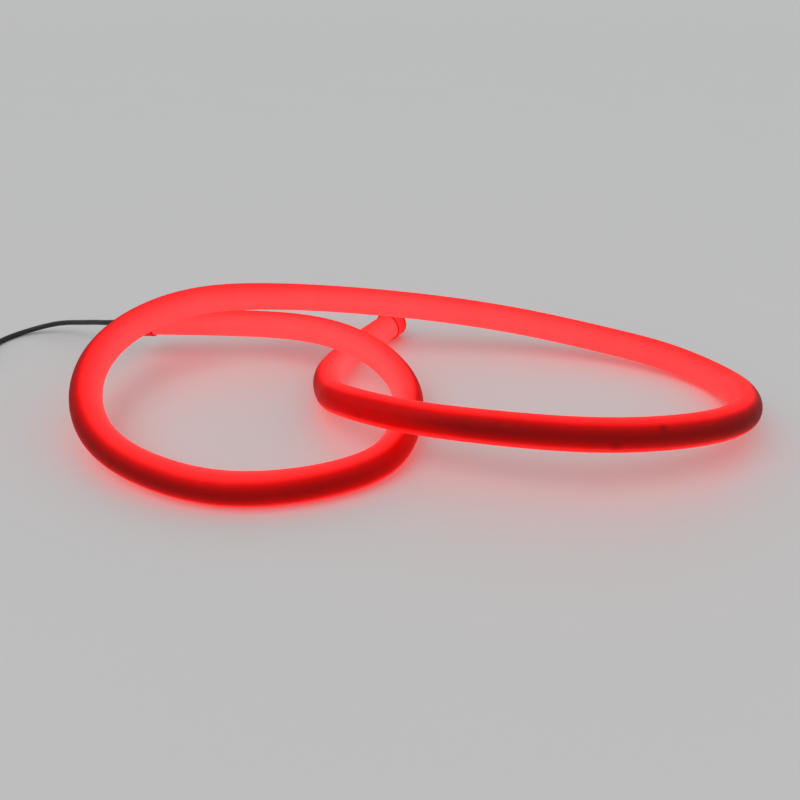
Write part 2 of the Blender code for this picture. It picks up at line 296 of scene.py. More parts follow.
# Finishes: where most of a noise lies between 0 and 1, and the roughness and gloss of each material
NOISE_RANGE = (0.3, 0.7)
SILICONE_ROUGHNESS = (0.44, 0.58)
SILICONE_GLOSS = 0.08
PLASTIC_GLOSS = 0.45
BOARD_CREAM = ((0.80, 0.77, 0.68), (0.88, 0.86, 0.80))
BOARD_ROUGHNESS = (0.38, 0.5)
NICKEL_TARNISH = (1.0, 0.95, 0.86)
NICKEL_ROUGHNESS = (0.16, 0.28)

# Soft lamps: name, where the light comes from, its spread in degrees and its share of the lamp power
LAMPS = (
    ("key_light", (-0.9, -0.7, 1.8), 50, 1.0),
    ("fill_light", (1.3, -0.3, 1.2), 70, 0.35),
)
ROOM_COLOUR = (0.97, 0.985, 1.0)
FLOOR_MOTTLE = 0.985


class TubeSettings(bpy.types.PropertyGroup):
    diameter: FloatProperty(
        name="Diameter", description="Outer diameter of the silicone tube", default=0.025, unit="LENGTH"
    )
    wall: FloatProperty(
        name="Wall", description="Thickness of the silicone", default=0.003, unit="LENGTH"
    )
    sides: IntProperty(name="Sides", description="Faces round the tube", default=48, min=12)
    ring_step: FloatProperty(
        name="Ring step",
        description="Distance between rings along the tube",
        default=0.004,
        unit="LENGTH",
    )
    silicone: FloatVectorProperty(
        name="Silicone",
        description="Colour of the jacket",
        default=(0.08, 0.0015, 0.0015),
        subtype="COLOR",
    )
    lit: FloatVectorProperty(
        name="Lit side",
        description="Glow of the side that the diodes face",
        default=(1.20, 0.068, 0.071),
        subtype="COLOR",
        max=4.0,
    )
    shade: FloatVectorProperty(
        name="Shaded side",
        description="Glow over the middle of the strip's back",
        default=(0.175, 0.0, 0.0),
        subtype="COLOR",
    )
    glow: FloatProperty(
        name="Glow", description="Strength of the light in the tube", default=1.0, min=0.0
    )


class CapSettings(bpy.types.PropertyGroup):
    sides: IntProperty(name="Sides", description="Faces round a cap", default=72, min=12)
    rim: FloatProperty(name="Rim", description="Rounding of the mouth", default=0.0005, unit="LENGTH")
    edge: FloatProperty(
        name="Edge", description="Rounding of the closed end", default=0.0016, unit="LENGTH"
    )
    groove: FloatProperty(
        name="Groove", description="Depth of the rings in the wall", default=0.00035, unit="LENGTH"
    )
    silicone: FloatVectorProperty(
        name="Silicone", description="Colour of the caps", default=(0.13, 0.002, 0.002), subtype="COLOR"
    )
    end_glow: FloatVectorProperty(
        name="End cap glow",
        description="Light that the end cap passes",
        default=(1.08, 0.030, 0.034),
        subtype="COLOR",
    )
    feed_glow: FloatVectorProperty(
        name="Feed cap glow",
        description="Light that the feed cap passes",
        default=(0.70, 0.004, 0.006),
        subtype="COLOR",
    )


class LeadSettings(bpy.types.PropertyGroup):
    diameter: FloatProperty(
        name="Diameter", description="Diameter of the lead", default=0.005, unit="LENGTH"
    )
    sides: IntProperty(name="Sides", description="Faces round the lead", default=20, min=8)
    turns: IntProperty(name="Turns", description="Turns of spare lead in the coil", default=2, min=1)
    jacket: FloatVectorProperty(
        name="Jacket", description="Colour of the lead", default=(0.012, 0.011, 0.011), subtype="COLOR"
    )


class SocketSettings(bpy.types.PropertyGroup):
    sides: IntProperty(name="Sides", description="Faces round the socket", default=64, min=12)
    moulding: FloatVectorProperty(
        name="Moulding",
        description="Colour of the socket and the tie",
        default=(0.016, 0.016, 0.017),
        subtype="COLOR",
    )
    metal: FloatVectorProperty(
        name="Contact",
        description="Colour of the contact pin",
        default=(0.80, 0.77, 0.70),
        subtype="COLOR",
    )


class StageSettings(bpy.types.PropertyGroup):
    floor_colour: FloatVectorProperty(
        name="Floor", description="Colour of the floor", default=(0.74, 0.735, 0.73), subtype="COLOR"
    )
    floor_size: FloatProperty(
        name="Floor size", description="Width of the floor", default=60.0, unit="LENGTH"
    )
    room_light: FloatProperty(
        name="Room light", description="Strength of the even light", default=0.50, min=0.0
    )
    lamp_power: FloatProperty(
        name="Lamp power", description="Strength of the main soft lamp", default=0.62, min=0.0
    )


def select_only(obj):
    """Makes obj the one selected and active object."""
    bpy.ops.object.select_all(action="DESELECT")
    obj.select_set(True)
    bpy.context.view_layer.objects.active = obj


def select_vertices(obj, passes):
    """Goes into edit mode with only those vertices selected whose place passes a test."""
    select_only(obj)
    bpy.ops.object.mode_set(mode="EDIT")
    bpy.ops.mesh.select_mode(type="VERT")
    bpy.ops.mesh.select_all(action="DESELECT")
    bpy.ops.object.mode_set(mode="OBJECT")
    for vertex in obj.data.vertices:
        vertex.select = bool(passes(vertex.co))
    bpy.ops.object.mode_set(mode="EDIT")


def modify(obj, kind, **settings):
    """Adds a modifier with the given settings and applies it."""
    modifier = obj.modifiers.new(kind.lower(), kind)
    for name, value in settings.items():
        setattr(modifier, name, value)
    select_only(obj)
    bpy.ops.object.modifier_apply(modifier=modifier.name)


def edit_all():
    """Goes into edit mode with the whole of the active object selected."""
    bpy.ops.object.mode_set(mode="EDIT")
    bpy.ops.mesh.select_all(action="SELECT")


def tidy_mesh(obj):
    """Merges doubles and turns the faces outwards."""
    select_only(obj)
    edit_all()
    bpy.ops.mesh.remove_doubles(threshold=0.000002)
    bpy.ops.mesh.normals_make_consistent(inside=False)
    bpy.ops.object.mode_set(mode="OBJECT")


def dress(obj, material, nodes, crease=35):
    """Settles a finished piece: its place goes into its mesh, and it stands for its CAD nodes."""
    select_only(obj)
    bpy.ops.object.transform_apply(location=True, rotation=True, scale=True)
    bpy.ops.object.shade_smooth_by_angle(angle=math.radians(crease))
    obj.data.materials.clear()
    obj.data.materials.append(material)
    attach(obj, BODY)
    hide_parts(*nodes)


def smooth_curve(points, step):
    """Points every step along the natural cubic spline through the given points, as an array."""
    knots = np.array(points, dtype=float)
    chord = np.linalg.norm(np.diff(knots, axis=0), axis=1)
    along = np.concatenate([[0], np.cumsum(chord)])
    count = len(knots)
    matrix = np.eye(count)
    right = np.zeros_like(knots)
    for i in range(1, count - 1):
        before, after = chord[i - 1], chord[i]
        matrix[i, i - 1 : i + 2] = (before, 2 * (before + after), after)
        right[i] = 6 * ((knots[i + 1] - knots[i]) / after - (knots[i] - knots[i - 1]) / before)
    bend = np.linalg.solve(matrix, right)
    place = np.linspace(0, along[-1], max(2, round(along[-1] / step) + 1))
    i = np.clip(np.searchsorted(along, place, side="right") - 1, 0, count - 2)
    b = ((place - along[i]) / chord[i])[:, None]
    a = 1 - b
    curl = ((a**3 - a) * bend[i] + (b**3 - b) * bend[i + 1]) * chord[i][:, None] ** 2 / 6
    return a * knots[i] + b * knots[i + 1] + curl


def run_length(line):
    """Distance along a line of points at each point."""
    return np.concatenate([[0], np.cumsum(np.linalg.norm(np.diff(line, axis=0), axis=1))])


def unit(vector):
    """A vector, or each row of an array of them, at length one."""
    return vector / np.linalg.norm(vector, axis=-1, keepdims=True)


def tube_line(tube, step):
    """The centre line of the tube from joint to joint; the floor holds it up."""
    radius = tube.diameter / 2
    storey = tube.diameter + CROSSING_GAP
    points = [(x, y, radius + level * storey) for x, y, level in TUBE_ROUTE]
    x, y, z = points[-1]
    points[-1] = (x, y, max(z, radius + FIT_GAP + CAP_WALL))
    line = smooth_curve(points, step)
    line[:, 2] = np.maximum(line[:, 2], radius)
    return line


def tube_ends(tube):
    """The two joints of the tube with the unit vectors that point out of it."""
    fine = tube_line(tube, FINE_STEP)
    return (fine[0], unit(fine[0] - fine[1])), (fine[-1], unit(fine[-1] - fine[-2]))


def swept_tube(name, line, radius, sides, capped):
    """A round tube along a line, made as a curve and converted to a mesh."""
    curve = bpy.data.curves.new(name, "CURVE")
    curve.dimensions = "3D"
    curve.bevel_depth = radius
    curve.bevel_resolution = (sides - 4) // 2
    curve.use_fill_caps = capped
    curve.twist_mode = "Z_UP"
    spline = curve.splines.new("POLY")
    spline.points.add(len(line) - 1)
    spline.points.foreach_set("co", np.column_stack([line, np.ones(len(line))]).ravel())
    obj = bpy.data.objects.new(name, curve)
    bpy.context.scene.collection.objects.link(obj)
    select_only(obj)
    bpy.ops.object.convert(target="MESH")
    return bpy.context.view_layer.objects.active


def set_attribute(obj, name, values):
    """Stores one number for each vertex of a mesh."""
    attribute = obj.data.attributes.new(name, "FLOAT", "POINT")
    attribute.data.foreach_set("value", np.asarray(values, dtype=np.float32))


def vertices_of(obj):
    """The places of a mesh's vertices, as an array."""
    places = np.zeros(len(obj.data.vertices) * 3, dtype=np.float32)
    obj.data.vertices.foreach_get("co", places)
    return places.reshape(-1, 3).astype(float)


def turned_piece(name, profile, sides, closed):
    """A primitive circle, extruded ring by ring along a profile of (radius, height) points.

    A closed profile ends where it began. An open one starts and ends on the axis.
    """
    rings = profile if closed else profile[1:]
    radius, height = rings[0]
    bpy.ops.mesh.primitive_circle_add(vertices=sides, radius=radius)
    obj = bpy.context.view_layer.objects.active
    obj.name = name
    obj.data.name = name
    edit_all()
    bpy.ops.transform.translate(value=(0, 0, height))
    if not closed:
        bpy.ops.mesh.edge_face_add()
        bpy.ops.mesh.select_all(action="SELECT")
    for new_radius, new_height in rings[1:] + (rings[:1] if closed else []):
        rise = (0, 0, new_height - height)
        bpy.ops.mesh.extrude_region_move(TRANSFORM_OT_translate={"value": rise})
        if new_radius > 0:
            ratio = new_radius / radius
            bpy.ops.transform.resize(value=(ratio, ratio, 1), center_override=(0, 0, new_height))
            radius = new_radius
        else:
            bpy.ops.mesh.merge(type="CENTER")
        height = new_height
    bpy.ops.object.mode_set(mode="OBJECT")
    tidy_mesh(obj)
    return obj


def arc(radius, height, size, start, end, steps=5):
    """Points of a rounded edge in a profile, between two angles in degrees from outward."""
    angles = np.radians(np.linspace(start, end, steps + 1))
    return [(radius + size * math.cos(a), height + size * math.sin(a)) for a in angles]


def ring_groove(radius, middle, width, depth, steps=6):
    """Points of a shallow round-bottomed groove in a wall that the profile climbs."""
    shares = np.linspace(0, 1, steps + 1)
    cut = [depth * math.sin(math.pi * share) ** 2 for share in shares]
    return list(zip(radius - np.array(cut), middle + width * (shares - 0.5)))


def aim(obj, place, direction):
    """Puts an object's origin at a place and turns its Z axis to a direction."""
    obj.rotation_mode = "QUATERNION"
    obj.rotation_quaternion = Vector(direction).to_track_quat("Z", "Y")
    obj.location = place


class Nodes:
    """A short way to wire one material's nodes."""

    def __init__(self, name):
        self.material = bpy.data.materials.new(name)
        self.material.use_nodes = True
        self.tree = self.material.node_tree
        self.shader = self.tree.nodes["Principled BSDF"]

    def wire(self, source, target):
        """Links a socket, or sets a plain value."""
        if isinstance(source, bpy.types.NodeSocket):
            self.tree.links.new(source, target)
        else:
            target.default_value = source

    def attribute(self, name):
        """The number that a mesh attribute holds."""
        node = self.tree.nodes.new("ShaderNodeAttribute")
        node.attribute_name = name
        return node.outputs["Fac"]

    def place(self):
        """Object coordinates, in metres."""
        return self.tree.nodes.new("ShaderNodeTexCoord").outputs["Object"]

    def math(self, operation, *inputs):
        """A sum, product or other function of one or two inputs."""
        node = self.tree.nodes.new("ShaderNodeMath")
        node.operation = operation
        for value, socket in zip(inputs, node.inputs):
            self.wire(value, socket)
        return node.outputs["Value"]

    def noise(self, coordinate, scale, detail=2.0, dimensions="3D"):
        """Even noise from 0 to 1."""
        node = self.tree.nodes.new("ShaderNodeTexNoise")
        node.noise_dimensions = dimensions
        self.wire(coordinate, node.inputs["W" if dimensions == "1D" else "Vector"])
        node.inputs["Scale"].default_value = scale
        node.inputs["Detail"].default_value = detail
        return node.outputs["Fac"]

    def spread(self, value, old_range, new_range, smooth=False):
        """Maps a value's range to another."""
        node = self.tree.nodes.new("ShaderNodeMapRange")
        node.interpolation_type = "SMOOTHSTEP" if smooth else "LINEAR"
        names = ("From Min", "From Max", "To Min", "To Max")
        for name, number in zip(names, (*old_range, *new_range)):
            node.inputs[name].default_value = number
        self.wire(value, node.inputs["Value"])
        return node.outputs["Result"]

    def ramp(self, value, stops):
        """A colour ramp of (position, colour) stops."""
        node = self.tree.nodes.new("ShaderNodeValToRGB")
        ends = node.color_ramp.elements
        for index, (position, colour) in enumerate(stops):
            stop = ends[index] if index < 2 else ends.new(position)
            stop.position = position
            stop.color = (*colour, 1)
        self.wire(value, node.inputs["Fac"])
        return node.outputs["Color"]

    def vector(self, x, y, z):
        """Three numbers as one vector."""
        node = self.tree.nodes.new("ShaderNodeCombineXYZ")
        for value, socket in zip((x, y, z), node.inputs):
            self.wire(value, socket)
        return node.outputs["Vector"]

    def product(self, first, second):
        """A colour times another or times a number, channel by channel."""
        node = self.tree.nodes.new("ShaderNodeVectorMath")
        node.operation = "MULTIPLY"
        self.wire(first, node.inputs[0])
        self.wire(second, node.inputs[1])
        return node.outputs["Vector"]

    def mix(self, factor, first, second):
        """A blend of two colours."""
        node = self.tree.nodes.new("ShaderNodeMix")
        node.data_type = "RGBA"
        self.wire(factor, node.inputs["Factor"])
        for value, name in ((first, "A"), (second, "B")):
            socket = [s for s in node.inputs if s.name == name and s.type == "RGBA"][0]
            self.wire(value if isinstance(value, bpy.types.NodeSocket) else (*value, 1), socket)
        return [s for s in node.outputs if s.type == "RGBA"][0]

    def bump(self, height, strength, distance):
        """Surface relief from a height."""
        node = self.tree.nodes.new("ShaderNodeBump")
        node.inputs["Strength"].default_value = strength
        node.inputs["Distance"].default_value = distance
        self.wire(height, node.inputs["Height"])
        self.wire(node.outputs["Normal"], self.shader.inputs["Normal"])

    def set(self, **values):
        """Wires or sets the shader's inputs, given by their names with underscores."""
        for name, value in values.items():
            socket = self.shader.inputs[name.replace("_", " ")]
            if socket.type == "RGBA" and not isinstance(value, bpy.types.NodeSocket):
                value = (*value, 1)
            self.wire(value, socket)


def silicone_finish(nodes, colour, cloud_scale):
    """The satin skin of moulded or extruded silicone: faint clouds, grain and dust-dulled patches."""
    place = nodes.place()
    clouds = nodes.noise(place, scale=cloud_scale, detail=3)
    dust = nodes.noise(place, scale=160, detail=4)
    grain = nodes.noise(place, scale=1400)
    pale = tuple(min(1, channel * 1.25) for channel in colour)
    nodes.set(
        Base_Color=nodes.mix(clouds, colour, pale),
        Roughness=nodes.spread(dust, NOISE_RANGE, SILICONE_ROUGHNESS),
        Specular_IOR_Level=SILICONE_GLOSS,
    )
    nodes.bump(grain, strength=0.12, distance=0.04 * MM)


def glow_by_angle(nodes, tube):
    """The colour of the tube's glow by the angle from the middle of the strip's back."""
    stops = []
    for place, red_share, warm_share in GLOW_BY_ANGLE:
        channels = zip(tube.shade, tube.lit, (red_share, warm_share, warm_share))
        stops.append((place, [dark + (lit - dark) * share for dark, lit, share in channels]))
    return nodes.ramp(nodes.math("DIVIDE", nodes.attribute("from_strip"), math.pi), stops)


def dimmed_glow_spots(nodes, tube):
    """One minus how much the small spots dim the glow at each point of the tube."""
    along = nodes.attribute("along")
    angle = nodes.attribute("from_strip")
    above = nodes.attribute("above_strip")
    below = nodes.math("SUBTRACT", 1.0, above)
    clear = 1.0
    for distance, degrees, side, size, depth in DIMMED_GLOW_SPOTS:
        run = nodes.math("DIVIDE", nodes.math("SUBTRACT", along, distance), size)
        turn = nodes.math("SUBTRACT", angle, math.radians(degrees))
        turn = nodes.math("MULTIPLY", turn, tube.diameter / 2 / size)
        squares = nodes.math("ADD", nodes.math("POWER", run, 2), nodes.math("POWER", turn, 2))
        far = nodes.math("SQRT", squares)
        dimming = nodes.spread(far, (0.0, SPOT_REACH), (depth, 0.0), smooth=True)
        dimming = nodes.math("MULTIPLY", dimming, above if side else below)
        clear = nodes.math("MULTIPLY", clear, nodes.math("SUBTRACT", 1.0, dimming))
    return clear


def band_red(nodes):
    """How much brighter or darker than usual the red is over the strip's back."""
    angle = nodes.attribute("from_strip")
    shift = nodes.math("SUBTRACT", nodes.attribute("band_level"), 1.0)
    over_middle = nodes.spread(angle, BRIGHTER_FADE, (1.0, 0.0), smooth=True)
    over_band = nodes.spread(angle, DARKER_FADE, (1.0, 0.0), smooth=True)
    brighter = nodes.math("MULTIPLY", nodes.math("MAXIMUM", shift, 0.0), over_middle)
    darker = nodes.math("MULTIPLY", nodes.math("MINIMUM", shift, 0.0), over_band)
    return nodes.math("ADD", nodes.math("ADD", brighter, darker), 1.0)


def tube_material(tube):
    """Milky silicone lit by a row of red diodes, with the strip's back as a soft dark band."""
    nodes = Nodes("lit_silicone_tube")
    silicone_finish(nodes, tube.silicone, cloud_scale=14)
    along = nodes.attribute("along")
    drift = nodes.spread(nodes.noise(along, scale=21, dimensions="1D"), (0.25, 0.75), DRIFT)
    ripple = nodes.math("SINE", nodes.math("MULTIPLY", along, math.tau / DIODE_PITCH))
    ripple = nodes.spread(ripple, (-1, 1), RIPPLE)
    # The glow's level: slow drift, the ripple from diode to diode, and small spots where the glow is dimmed
    level = nodes.math("MULTIPLY", nodes.math("MULTIPLY", drift, ripple), dimmed_glow_spots(nodes, tube))
    warmth = nodes.attribute("warmth")
    colour = nodes.product(glow_by_angle(nodes, tube), nodes.vector(band_red(nodes), warmth, warmth))
    nodes.set(Emission_Color=nodes.product(colour, level), Emission_Strength=tube.glow)
    return nodes.material


def cap_material(name, caps, glow, length):
    """Cap silicone: lit through the wall at its mouth, darker in its rings and towards its end."""
    nodes = Nodes(name)
    silicone_finish(nodes, caps.silicone, cloud_scale=40)
    red, green, blue = glow
    stops = [
        (height / length, (red * red_share, green * warm_share, blue * warm_share))
        for height, red_share, warm_share in CAP_GLOW
    ]
    if length > CAP_LENGTH:
        stops.append((1.0, (red * NOSE_TIP_GLOW, 0.0, 0.0)))
    by_height = nodes.ramp(nodes.math("DIVIDE", nodes.attribute("from_mouth"), length), stops)
    clouds = nodes.spread(nodes.noise(nodes.place(), scale=130), NOISE_RANGE, (0.92, 1.06))
    nodes.set(Emission_Color=nodes.product(by_height, clouds), Emission_Strength=1.0)
    return nodes.material


def black_plastic(name, colour, grain, roughness):
    """Black cable jacket or moulding with a fine grain and handling wear."""
    nodes = Nodes(name)
    place = nodes.place()
    scuffs = nodes.spread(nodes.noise(place, scale=320, detail=5), (0.58, 0.80), (0.0, 1.0))
    worn = tuple(channel * 1.8 + 0.003 for channel in colour)
    patches = nodes.noise(place, scale=90, detail=3)
    nodes.set(
        Base_Color=nodes.mix(scuffs, tuple(colour), worn),
        Roughness=nodes.spread(patches, NOISE_RANGE, (roughness - 0.06, roughness + 0.08)),
        Specular_IOR_Level=PLASTIC_GLOSS,
    )
    nodes.bump(nodes.noise(place, scale=grain, detail=3), strength=0.25, distance=0.05 * MM)
    return nodes.material


def strip_material():
    """The cream solder mask of the flexible board, a little mottled."""
    nodes = Nodes("strip_board")
    place = nodes.place()
    clouds = nodes.noise(place, scale=60, detail=3)
    nodes.set(
        Base_Color=nodes.mix(clouds, *BOARD_CREAM),
        Roughness=nodes.spread(clouds, NOISE_RANGE, BOARD_ROUGHNESS),
    )
    nodes.bump(nodes.noise(place, scale=900), strength=0.1, distance=0.03 * MM)
    return nodes.material


def pin_material(settings):
    """Nickel-plated brass with fine turning marks."""
    nodes = Nodes("pin_metal")
    place = nodes.place()
    marks = nodes.noise(place, scale=2600)
    tarnished = tuple(channel * factor for channel, factor in zip(settings.metal, NICKEL_TARNISH))
    nodes.set(
        Base_Color=nodes.mix(nodes.noise(place, scale=500), tuple(settings.metal), tarnished),
        Metallic=1.0,
        Roughness=nodes.spread(marks, NOISE_RANGE, NICKEL_ROUGHNESS),
    )
    nodes.bump(marks, strength=0.1, distance=0.02 * MM)
    return nodes.material


class NEONFLEX_OT_stage(bpy.types.Operator):
    """Add the pale floor, the soft studio light and the camera"""

    bl_idname = "neonflex.stage"
    bl_label = "Stage"

    def execute(self, context):
        settings = context.scene.neonflex_stage
        context.scene.view_settings.view_transform = "Standard"
        self.add_floor(settings)
        self.add_light(context.scene, settings)
        self.add_camera(context.scene)
        return {"FINISHED"}

    def add_floor(self, settings):
        bpy.ops.mesh.primitive_plane_add(size=settings.floor_size)
        floor = bpy.context.view_layer.objects.active
        floor.name = "floor"
        nodes = Nodes("floor_paint")
        tone = nodes.noise(nodes.place(), scale=3, detail=3)
        colour = tuple(settings.floor_colour)
        mottled = tuple(channel * FLOOR_MOTTLE for channel in colour)
        nodes.set(
            Base_Color=nodes.mix(tone, mottled, colour),
            Roughness=0.42,
            Specular_IOR_Level=0.35,
        )
        floor.data.materials.append(nodes.material)

    def add_light(self, scene, settings):
        world = bpy.data.worlds.new("room")
        world.use_nodes = True
        background = world.node_tree.nodes["Background"]
        background.inputs["Color"].default_value = (*ROOM_COLOUR, 1)
        background.inputs["Strength"].default_value = settings.room_light
        scene.world = world
        for name, place, spread, share in LAMPS:
            lamp = bpy.data.lights.new(name, "SUN")
            lamp.angle = math.radians(spread)
            lamp.energy = settings.lamp_power * share
            obj = bpy.data.objects.new(name, lamp)
            obj.location = place
            obj.rotation_euler = (-Vector(place)).to_track_quat("-Z", "Y").to_euler()
            scene.collection.objects.link(obj)

    def add_camera(self, scene):
        lens = bpy.data.cameras.new("camera")
        lens.sensor_width = SENSOR_WIDTH
        lens.lens = FOCAL_PIXELS * SENSOR_WIDTH / PICTURE_WIDTH
        lens.clip_start = 0.01
        lens.clip_end = 200
        camera = bpy.data.objects.new("camera", lens)
        camera.location = CAMERA_PLACE
        camera.rotation_euler = (math.pi / 2 - CAMERA_PITCH, 0, 0)
        scene.collection.objects.link(camera)
        scene.camera = camera


class NEONFLEX_OT_tube(bpy.types.Operator):
    """Make the lit silicone tube"""

    bl_idname = "neonflex.tube"
    bl_label = "Silicone Tube"

    def execute(self, context):
        tube = context.scene.neonflex_tube
        line = self.rings(tube)
        joint = tube_ends(tube)[0][0]
        obj = swept_tube("silicone_tube", line, tube.diameter / 2, tube.sides, capped=False)
        self.mark_surface(obj, line, tube.sides, joint)
        modify(obj, "SOLIDIFY", thickness=tube.wall, offset=-1, use_even_offset=True)
        dress(obj, tube_material(tube), ["diffuser_tube"])
        return {"FINISHED"}

    def rings(self, tube):
        """The tube's centre line, with its two ends inside the caps."""
        line = tube_line(tube, tube.ring_step)
        (start, start_way), (end, end_way) = tube_ends(tube)
        inserted = CAP_COVER - SEAT_GAP
        first = [start + start_way * inserted * share for share in reversed(RINGS_IN_CAP)]
        last = [end + end_way * inserted * share for share in RINGS_IN_CAP]
        return np.vstack([first, line, last])

    def mark_surface(self, obj, line, sides, joint):
        """Stores each point's distance along the tube, its angle from the strip's back and its glow."""
        along = run_length(line)
        along -= along[int(np.argmin(np.linalg.norm(line - joint, axis=1)))]
        heading = unit(np.gradient(line, axis=0))
        outward = unit(np.cross((0, 0, 1), heading))
        upward = np.cross(heading, outward)
        upward *= np.sign(upward[:, 2:3])
        tilt, band, warmth = self.glow_levels(along)
        tilt = np.radians(tilt)[:, None]
        strip_way = np.cos(tilt) * outward + np.sin(tilt) * upward
        across = np.cos(tilt) * upward - np.sin(tilt) * outward
        spread = unit(vertices_of(obj).reshape(len(line), sides, 3) - line[:, None, :])
        angle = np.arccos(np.clip(np.einsum("ijk,ik->ij", spread, strip_way), -1, 1))
        set_attribute(obj, "from_strip", angle.ravel())
        set_attribute(obj, "above_strip", np.einsum("ijk,ik->ij", spread, across).ravel() > 0)
        set_attribute(obj, "along", np.repeat(along, sides))
        set_attribute(obj, "band_level", np.repeat(band, sides))
        set_attribute(obj, "warmth", np.repeat(warmth, sides))

    def glow_levels(self, along):
        """The glow table's columns at each distance, blurred so that they change gently."""
        places, *columns = zip(*GLOW_TABLE)
        offsets = np.linspace(-GLOW_BLUR, GLOW_BLUR, BLUR_STEPS)
        levels = []
        for column in columns:
            shifted = [np.interp(along + offset, places, column) for offset in offsets]
            levels.append(np.mean(shifted, axis=0))
        return levels


def cap_sleeve(tube, caps):
    """The profile of both caps up to the closed end's edge: bore, mouth and grooved outer wall."""
    bore = tube.diameter / 2 + FIT_GAP
    outer = bore + CAP_WALL
    return [
        (bore, CAP_COVER),
        (bore, CAP_COVER / 2),
        (bore, MOUTH_DEPTH),
        (bore + MOUTH_CHAMFER, 0),
        *arc(outer - caps.rim, caps.rim, caps.rim, -90, 0),
        (outer, FAINT_RING / 2),
        *ring_groove(outer, FAINT_RING, FAINT_RING_WIDTH, caps.groove * FAINT_RING_SHARE),
        (outer, (FAINT_RING + END_RING) / 2),
        *ring_groove(outer, END_RING, END_RING_WIDTH, caps.groove),
        *arc(outer - caps.edge, CAP_LENGTH - caps.edge, caps.edge, 0, 90, steps=7),
    ]


class NEONFLEX_OT_closed_cap(bpy.types.Operator):
    """Make the closed cap on the far end of the tube"""

    bl_idname = "neonflex.closed_cap"
    bl_label = "Closed Cap"

    def execute(self, context):
        tube = context.scene.neonflex_tube
        caps = context.scene.neonflex_caps
        dish = tube.diameter * DISH_SHARE
        profile = [
            (0, CAP_COVER),
            *cap_sleeve(tube, caps),
            (dish + DISH_EDGE, CAP_LENGTH),
            (dish, CAP_LENGTH - DISH_EDGE_DEPTH),
            (dish - DISH_EDGE, CAP_LENGTH - DISH_DEPTH),
            *((radius, CAP_LENGTH - depth) for radius, depth in GATE_MARK),
        ]
        obj = turned_piece("closed_cap", profile, caps.sides, closed=False)
        set_attribute(obj, "from_mouth", vertices_of(obj)[:, 2])
        joint, way = tube_ends(tube)[1]
        aim(obj, joint, way)
        material = cap_material("closed_cap_silicone", caps, caps.end_glow, CAP_LENGTH)
        dress(obj, material, ["end_cap"])
        return {"FINISHED"}


class NEONFLEX_OT_feed_cap(bpy.types.Operator):
    """Make the cap that the lead enters, with its tapered and ringed nose"""

    bl_idname = "neonflex.feed_cap"
    bl_label = "Feed Cap"

    def execute(self, context):
        tube = context.scene.neonflex_tube
        caps = context.scene.neonflex_caps
        hole = context.scene.neonflex_lead.diameter / 2 + FIT_GAP
        length = CAP_LENGTH + NOSE_LENGTH
        profile = [
            (hole, CAP_COVER),
            *cap_sleeve(tube, caps),
            *self.nose(hole),
            (hole + NOSE_CHAMFER, length),
            (hole, length - NOSE_CHAMFER),
        ]
        obj = turned_piece("lead_cap", profile, caps.sides, closed=True)
        set_attribute(obj, "from_mouth", vertices_of(obj)[:, 2])
        joint, way = tube_ends(tube)[0]
        aim(obj, joint, way)
        material = cap_material("lead_cap_silicone", caps, caps.feed_glow, length)
        dress(obj, material, ["feed_cap"])
        return {"FINISHED"}

    def nose(self, hole):
        """The outside of the nose: a filleted root, a taper with rings cut in it and a round tip."""
        root = hole + NOSE_ROOT_WALL
        tip = hole + NOSE_TIP_WALL
        foot = CAP_LENGTH + NOSE_FILLET
        taper = NOSE_LENGTH - NOSE_FILLET - NOSE_ROUND
        points = arc(root + NOSE_FILLET, foot, NOSE_FILLET, 270, 180)
        for share in NOSE_RINGS:
            wall = root + (tip - root) * share
            points += ring_groove(wall, foot + taper * share, NOSE_RING_WIDTH, NOSE_RING_DEPTH, 4)
        points += arc(tip - NOSE_ROUND, CAP_LENGTH + NOSE_LENGTH - NOSE_ROUND, NOSE_ROUND, 0, 90, 4)
        return points


class NEONFLEX_OT_lead(bpy.types.Operator):
    """Lay the lead: out of the nose, down to the floor, round the coil and into the socket"""

    bl_idname = "neonflex.lead"
    bl_label = "Lead"

    def execute(self, context):
        tube = context.scene.neonflex_tube
        lead = context.scene.neonflex_lead
        joint, way = tube_ends(tube)[0]
        tip = joint + way * (CAP_LENGTH + NOSE_LENGTH)
        line = self.line(lead, joint, way, tip)
        obj = swept_tube("lead", line, lead.diameter / 2, lead.sides, capped=True)
        tidy_mesh(obj)
        material = black_plastic("lead_jacket", lead.jacket, grain=700, roughness=0.42)
        dress(obj, material, ["lead_cable", "lead_coil", "lead_end"], crease=50)
        return {"FINISHED"}

    def line(self, lead, joint, way, tip):
        """The whole centre line of the lead."""
        coil = Coil(lead.diameter)
        knots = [joint + way * LEAD_START, joint + way * CAP_LENGTH, tip, *LEAD_ROUTE]
        knots += coil.turns(lead.turns)
        knots += coil.way_to_socket(lead.turns)
        line = smooth_curve(knots, LEAD_STEP)
        line[:, 2] = np.maximum(line[:, 2], lead.diameter / 2)
        return line


